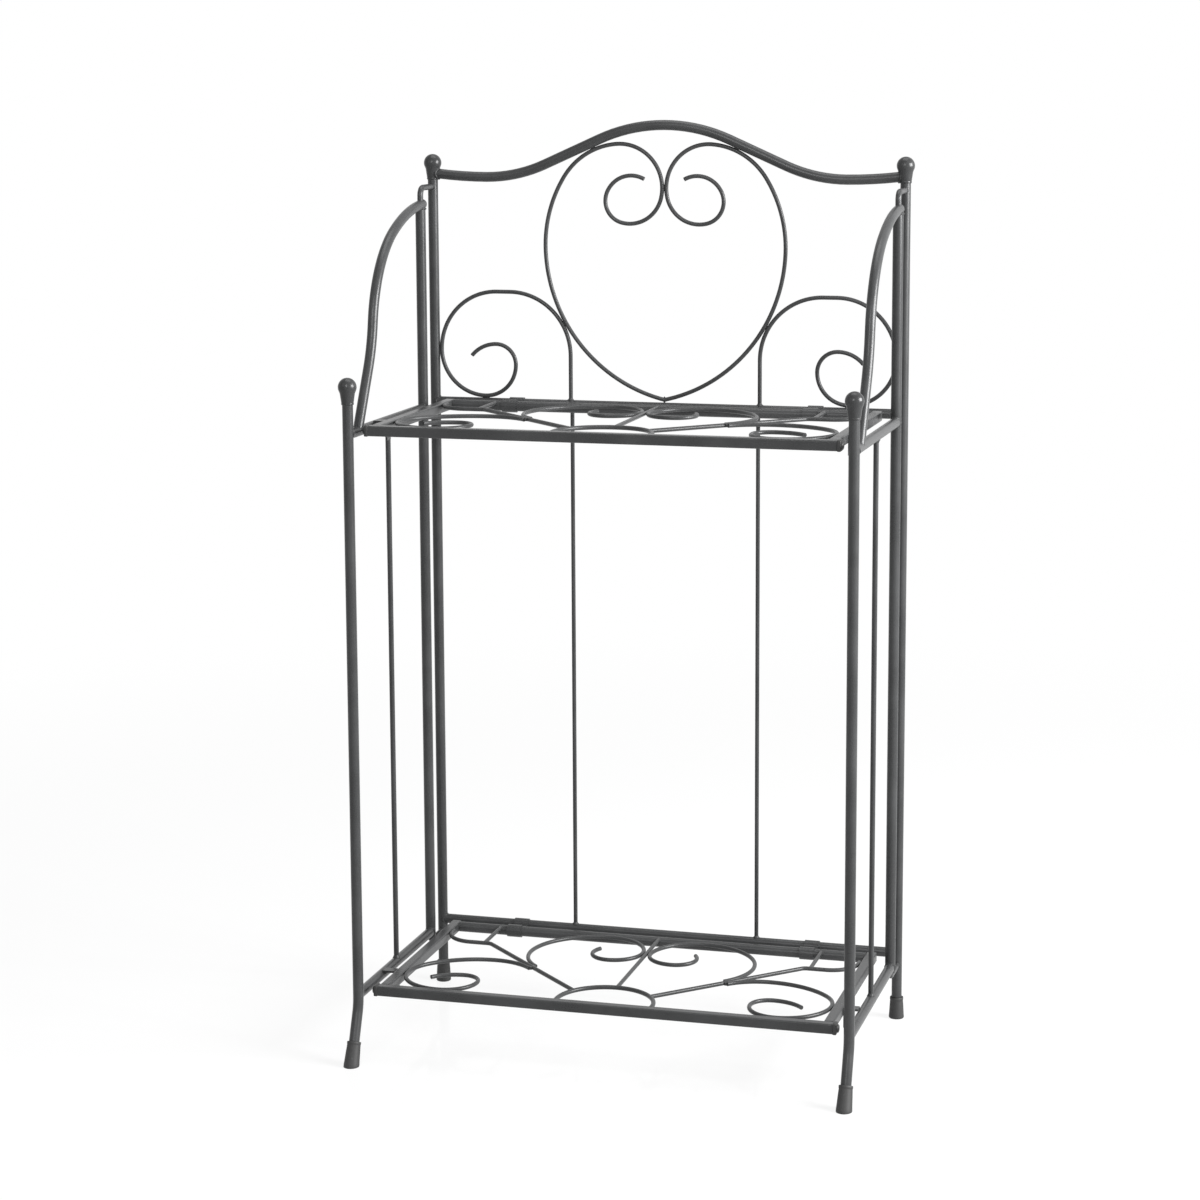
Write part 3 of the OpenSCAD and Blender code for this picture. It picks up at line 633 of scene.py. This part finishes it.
def near_points(first, second, reach):
    """Places where the first node's surface comes within reach of the second's."""
    other = nodes[second].data
    tree = BVHTree.FromPolygons([v.co for v in other.vertices],
                                [p.vertices for p in other.polygons])
    low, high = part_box(second)
    pad = Vector((reach, reach, reach))
    low, high = low - pad, high + pad
    mesh = nodes[first].data
    spots = []
    for edge in mesh.edges:
        a, b = (mesh.vertices[i].co for i in edge.vertices)
        if any(max(a[i], b[i]) < low[i] or min(a[i], b[i]) > high[i] for i in range(3)):
            continue
        steps = max(1, int((b - a).length / SEARCH_STEP))
        for step in range(steps + 1):
            point = a.lerp(b, step / steps)
            if all(low[i] <= point[i] <= high[i] for i in range(3)):
                hit = tree.find_nearest(point, reach)[0]
                if hit is not None:
                    spots.append((point + hit) / 2)
    groups = []
    for spot in spots:
        for group in groups:
            if (group[0] - spot).length < PLACE_SPREAD:
                group.append(spot)
                break
        else:
            groups.append([spot])
    return [sum(group, Vector()) / len(group) for group in groups]


beads = {"back_frame": [], "left_side_frame": [], "right_side_frame": [],
         "upper_shelf": [], "lower_shelf": []}
seeds = iter(range(1, 1000))


def ring(body, point, up, along, pipe_r, host_r, bead_r=TUBE_BEAD_R):
    bead = saddle_bead(next(seeds), pipe_r, host_r, bead_r)
    beads[body].append(put(bead, frame_at(point, up, along)))


def run(body, point, along, face, size):
    bead = run_bead(next(seeds), *size)
    beads[body].append(put(bead, frame_at(point, face, along)))


def weld_back_frame(side, sign):
    """Rings round the rails, pins and wires, and runs where the scrolls touch."""
    body = "back_frame"
    post = middle(f"back_{side}_post")
    wire = middle(f"back_{side}_wire")
    scroll = f"{side}_side_scroll"
    rail_z = {level: middle(f"back_{level}_rail").z for level in LEVELS}
    for level in LEVELS:
        ring(body, Vector((post.x, post.y, rail_z[level])), -sign * X, Z, RAIL_R, TUBE_R)
        pin_low, pin_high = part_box(f"{side}_{level}_hinge_pin")
        pin_z = pin_high.z - PIN_R if level == "upper" else pin_low.z + PIN_R
        ring(body, Vector((post.x, post.y, pin_z)), -Y, Z, PIN_R, TUBE_R, SMALL_BEAD_R)
    for level, up in (("upper", -Z), ("lower", Z)):
        ring(body, Vector((wire.x, post.y, rail_z[level])), up, X, WIRE_R + WIRE_FLARE, RAIL_R,
             SMALL_BEAD_R)
    foot_x = min(abs(corner.x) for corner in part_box(scroll)) + WIRE_R + SCROLL_FOOT_IN
    ring(body, Vector((sign * foot_x, post.y, rail_z["upper"])), Z, X, WIRE_R + WIRE_FLARE,
         RAIL_R, SMALL_BEAD_R)
    for other in ("top_arch", "back_upper_rail", scroll):
        for spot in near_points(f"heart_{side}", other, WIRE_REACH):
            run(body, spot, Z if other == scroll else X, Y, HEART_RUN)
    for other in (f"back_{side}_post", "back_upper_rail"):
        for spot in near_points(scroll, other, WIRE_REACH):
            if abs(abs(spot.x) - foot_x) > SCROLL_FOOT_ROOM:
                run(body, spot, Z if "post" in other else X, Y, SIDE_SCROLL_RUN)
    for spot in near_points("top_arch", f"back_{side}_finial", CLOSE_REACH):
        ring(body, Vector((post.x, post.y, spot.z)), -sign * X, Z, TUBE_R, ARCH_HOST_R,
             ARCH_BEAD_R)


def weld_side_frame(side):
    """Rings where the side rails meet the uprights, and at both ends of the arm."""
    body = f"{side}_side_frame"
    tube = middle(f"{side}_hinge_tube")
    leg = middle(f"{side}_front_finial")
    wire = middle(f"{side}_side_wire")
    for level, up in (("upper", -Z), ("lower", Z)):
        rail_z = middle(f"{side}_{level}_side_rail").z
        ring(body, Vector((tube.x, tube.y, rail_z)), -Y, Z, RAIL_R, TUBE_R)
        if level == "upper":
            ring(body, Vector((tube.x, leg.y, rail_z)), Y, Z, RAIL_R, TUBE_R)
        ring(body, Vector((wire.x, wire.y, rail_z)), up, Y, SIDE_WIRE_R + WIRE_FLARE, RAIL_R,
             SIDE_WIRE_BEAD_R)
    for spot in near_points(f"{side}_arm", f"{side}_hinge_tube", ARM_END_REACH):
        ring(body, Vector((tube.x, tube.y, spot.z)), Z, Y, TUBE_R, 0, ARM_BEAD_R)
    for spot in near_points(f"{side}_arm", f"{side}_upper_side_rail", SEATED_REACH):
        run(body, spot, Y, Z, ARM_FOOT_RUN)


def weld_shelf(level):
    """Runs where the scrolls touch each other or the frame, and at the frame's corners."""
    body = f"{level}_shelf"
    for side in SIDES:
        side_rail = f"{level}_{side}_rail"
        for other in (f"{level}_half_round", f"{level}_rear_tube", side_rail,
                      f"{level}_front_rail"):
            for spot in near_points(f"{level}_{side}_scrolls", other, CLOSE_REACH):
                run(body, spot, Y if other == side_rail else X, Z, SHELF_SCROLL_RUN)
        for spot in near_points(side_rail, f"{level}_front_rail", BUTTED_REACH):
            run(body, spot, X, Z, RAIL_CORNER_RUN)
    for other in ("front_rail", "rear_tube"):
        for spot in near_points(f"{level}_half_round", f"{level}_{other}", SEATED_REACH):
            run(body, spot, X, Z, HALF_ROUND_RUN)


for side, sign in SIDES.items():
    weld_back_frame(side, sign)
for spot in near_points("heart_left", "heart_right", CLOSE_REACH):
    run("back_frame", spot, Z, Y, HEART_RUN)
for side in SIDES:
    weld_side_frame(side)
for level in LEVELS:
    weld_shelf(level)

for body, group in beads.items():
    welds = smooth(joined(group, body + "_welds"), WELDS_SMOOTH_TO)
    finished(welds, "wire_paint", body, "weld_paint")


# Floor, light and camera

FLOOR_SIZE = 24
FLOOR_GREY = 0.86
FLOOR_ROUGHNESS = 0.09

# How white the floor shows near the stand, and how far out it turns and is all white
FLOOR_WHITE = 0.83
FLOOR_NEAR = 0.7
FLOOR_FAR = 2.2

# The world's light on the stand; the rays listed here see it plain white instead
AMBIENT = 0.2
SEEN_RAYS = ("Is Camera Ray", "Is Glossy Ray", "Is Transmission Ray")

CLIP_NEAR = 0.05
CLIP_FAR = 60


def studio_floor():
    deselect()
    bpy.ops.mesh.primitive_plane_add(size=FLOOR_SIZE, location=(0, 0, 0))
    floor = named("floor")
    finish = Finish("floor_white")
    camera, gloss, clear = (finish.node("ShaderNodeLightPath", output=ray) for ray in SEEN_RAYS)
    reach = finish.node("ShaderNodeVectorMath", {"operation": "LENGTH"}, {0: finish.place},
                        output="Value")
    far = finish.ramp(reach, FLOOR_NEAR, FLOOR_FAR)
    finish.shade(Base_Color=grey(FLOOR_GREY), Roughness=FLOOR_ROUGHNESS)
    white = finish.node("ShaderNodeEmission", {}, {"Color": grey(1.0), "Strength": 1.0})
    shown = finish.node("ShaderNodeMixShader", {}, {
        0: (camera + gloss + clear) * (far * (1 - FLOOR_WHITE) + FLOOR_WHITE),
        1: Value(finish, finish.shader.outputs[0]),
        2: white})
    finish.join(shown, finish.tree.nodes["Material Output"].inputs["Surface"])
    floor.data.materials.append(finish.material)


def white_world():
    world = bpy.data.worlds.new("studio")
    world.use_nodes = True
    tree = world.node_tree
    ambient = tree.nodes["Background"]
    ambient.inputs["Color"].default_value = grey(1.0)
    ambient.inputs["Strength"].default_value = AMBIENT
    backdrop = tree.nodes.new("ShaderNodeBackground")
    backdrop.inputs["Color"].default_value = grey(1.0)
    backdrop.inputs["Strength"].default_value = 1.0
    path = tree.nodes.new("ShaderNodeLightPath")
    shown = ambient
    for ray in SEEN_RAYS:
        mix = tree.nodes.new("ShaderNodeMixShader")
        tree.links.new(path.outputs[ray], mix.inputs[0])
        tree.links.new(shown.outputs[0], mix.inputs[1])
        tree.links.new(backdrop.outputs[0], mix.inputs[2])
        shown = mix
    tree.links.new(shown.outputs[0], tree.nodes["World Output"].inputs["Surface"])
    bpy.context.scene.world = world


def soft_box(name, at, aim, size, watts):
    lamp = bpy.data.lights.new(name, "AREA")
    lamp.shape = "RECTANGLE"
    lamp.size, lamp.size_y = size
    lamp.energy = watts
    holder = bpy.data.objects.new(name, lamp)
    holder.location = at
    holder.rotation_euler = (Vector(aim) - Vector(at)).to_track_quat("-Z", "Y").to_euler()
    bpy.context.scene.collection.objects.link(holder)


def photo_camera():
    camera = bpy.data.cameras.new("photo_camera")
    camera.sensor_width = SENSOR_MM
    camera.lens = FOCAL_PIXELS / IMAGE * SENSOR_MM
    camera.shift_x = (IMAGE / 2 - CENTRE_PIXEL[0]) / IMAGE
    camera.shift_y = (CENTRE_PIXEL[1] - IMAGE / 2) / IMAGE
    camera.clip_start, camera.clip_end = CLIP_NEAR, CLIP_FAR
    holder = bpy.data.objects.new("photo_camera", camera)
    back = -CAMERA_LOOK.normalized()
    side = CAMERA_UP.cross(back).normalized()
    holder.matrix_world = Matrix((side, back.cross(side), back)).transposed().to_4x4()
    holder.location = CAMERA_AT
    bpy.context.scene.collection.objects.link(holder)
    bpy.context.scene.camera = holder


studio_floor()
white_world()
soft_box("left_soft_box", at=(-1.6, -1.9, 1.9), aim=(0, 0, 0.7), size=(1.0, 1.4), watts=5)
soft_box("right_soft_box", at=(2.1, -0.15, 1.25), aim=(0, 0, 0.95), size=(1.3, 1.0), watts=135)
soft_box("front_soft_box", at=(0.1, -2.7, 1.75), aim=(0, 0, 0.9), size=(0.9, 0.9), watts=26)
soft_box("top_soft_box", at=(0, 0.2, 2.8), aim=(0, 0, 0), size=(1.6, 1.2), watts=22)
photo_camera()
bpy.context.scene.view_settings.view_transform = "Standard"
